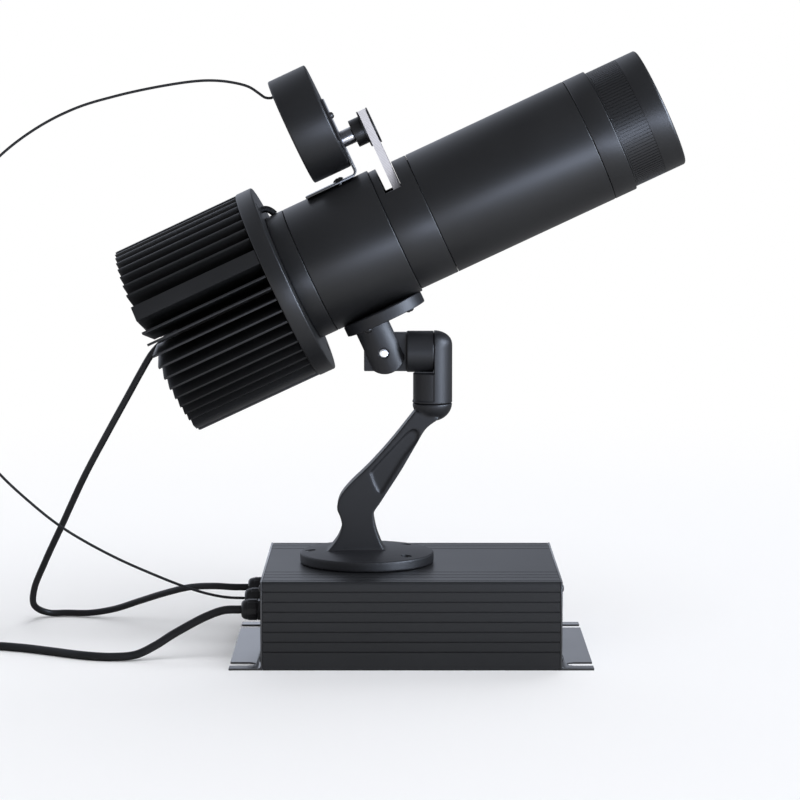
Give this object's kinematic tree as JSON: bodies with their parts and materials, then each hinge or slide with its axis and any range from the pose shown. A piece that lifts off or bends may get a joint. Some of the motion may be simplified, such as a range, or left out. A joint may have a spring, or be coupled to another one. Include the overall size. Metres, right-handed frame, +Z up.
{
  "type": "gobo projector",
  "caption": "Gobo projector: finned lamp head with a focusing lens tube, a motor that turns the gobo by a toothed belt, a jointed arm and a driver box with leads.",
  "frame": {"origin": "centre of the driver box's underside, on the surface that it stands on", "axes": "+X is the way that the light goes, +Z is up, and the box's front faces -Y"},
  "size_m": [0.6731, 0.2239, 0.4818],
  "materials": {
    "box_anodised": "dark grey anodised, satin",
    "driver_housing": "plain",
    "arm_casting": "die-cast, charcoal satin coat",
    "tube_anodised": "black anodised, satin",
    "bright_steel": "bright",
    "black_steel": "black, satin",
    "black_plastic": "moulded, satin",
    "cord_jacket": "smooth, matte",
    "belt_white": "smooth",
    "lens_glass": "polished",
    "lamp_white": "white coat"
  },
  "bodies": {
    "base": {"driver_case": "box_anodised", "end_plate_right": "box_anodised", "end_plate_left": "box_anodised", "lamp_driver": "driver_housing", "gland_body_front": "black_plastic", "gland_nut_front": "black_plastic", "gland_body_middle": "black_plastic", "gland_nut_middle": "black_plastic", "gland_body_back": "black_plastic", "gland_nut_back": "black_plastic", "mount_arm": "arm_casting", "flange_screw_1": "black_steel", "flange_screw_2": "black_steel", "flange_screw_3": "black_steel", "pan_pin": "bright_steel", "lamp_cord_lower": "cord_jacket", "motor_wire_lower": "cord_jacket", "mains_lead": "cord_jacket", "mains_coil": "cord_jacket", "mains_plug": "cord_jacket", "plug_pin_left": "bright_steel", "plug_pin_right": "bright_steel"},
    "elbow": {"elbow": "arm_casting", "roll_pin": "bright_steel", "lamp_cord_middle": "cord_jacket", "motor_wire_middle": "cord_jacket"},
    "swivel": {"swivel_block": "arm_casting"},
    "head": {"head_bracket": "arm_casting", "tilt_bolt": "bright_steel", "tilt_nut": "bright_steel", "bracket_screw_1": "bright_steel", "bracket_screw_2": "bright_steel", "bracket_screw_3": "bright_steel", "heatsink": "tube_anodised", "rear_grommet": "cord_jacket", "heatsink_ring": "tube_anodised", "lamp_board": "lamp_white", "collar": "tube_anodised", "rear_tube": "tube_anodised", "condenser_lens": "lens_glass", "drive_belt": "belt_white", "gobo_section": "tube_anodised", "gobo_bearing": "bright_steel", "motor_case": "black_plastic", "motor_bracket": "arm_casting", "foot_screw_1": "bright_steel", "foot_screw_2": "bright_steel", "barrel": "tube_anodised", "objective_rear": "lens_glass", "step_ring": "tube_anodised", "wire_loop": "cord_jacket", "lamp_cord_upper": "cord_jacket", "motor_wire_upper": "cord_jacket"},
    "focus_ring": {"focus_ring": "tube_anodised"},
    "focus_cell": {"focus_sleeve": "tube_anodised", "objective_front": "lens_glass"},
    "drive": {"motor_shaft": "bright_steel", "drive_pulley": "black_steel"},
    "gobo": {"gobo_wheel": "tube_anodised", "gobo_glass": "lens_glass"}
  },
  "joints": [
    {"name": "pan", "type": "hinge", "parent": "base", "child": "elbow", "pos_m": [0.0172, 0, 0.2004], "axis": [0, 0, 1], "range_deg": [-60, 60], "deforming": ["lamp_cord_lower", "motor_wire_lower"]},
    {"name": "roll", "type": "hinge", "parent": "elbow", "child": "swivel", "pos_m": [0.0185, 0, 0.2418], "axis": [1, 0, 0], "range_deg": [-45, 45], "deforming": ["lamp_cord_middle", "motor_wire_middle"]},
    {"name": "tilt", "type": "hinge", "parent": "swivel", "child": "head", "pos_m": [-0.0219, 0, 0.2418], "axis": [0, -1, 0], "range_deg": [-25, 40], "deforming": ["lamp_cord_upper", "motor_wire_upper"]},
    {"name": "focus_turn", "type": "hinge", "parent": "head", "child": "focus_ring", "pos_m": [0.17807, 0, 0.42817], "axis": [0.9063, 0, 0.4226], "range_deg": [0, 270]},
    {"name": "focus_slide", "type": "slide", "parent": "head", "child": "focus_cell", "axis": [0.9063, 0, 0.4226], "range_m": [0, 0.006]},
    {"name": "drive_spin", "type": "hinge", "parent": "head", "child": "drive", "pos_m": [-0.03362, 0, 0.42193], "axis": [0.9063, 0, 0.4226], "continuous": true, "deforming": ["drive_belt"]},
    {"name": "gobo_spin", "type": "hinge", "parent": "head", "child": "gobo", "pos_m": [0.00179, 0, 0.34597], "axis": [0.9063, 0, 0.4226], "continuous": true}
  ],
  "couplings": [
    {"joint": "focus_slide", "follows": "focus_turn", "m_per_rad": 0.0012732},
    {"joint": "gobo_spin", "follows": "drive_spin", "ratio": 0.5}
  ]
}
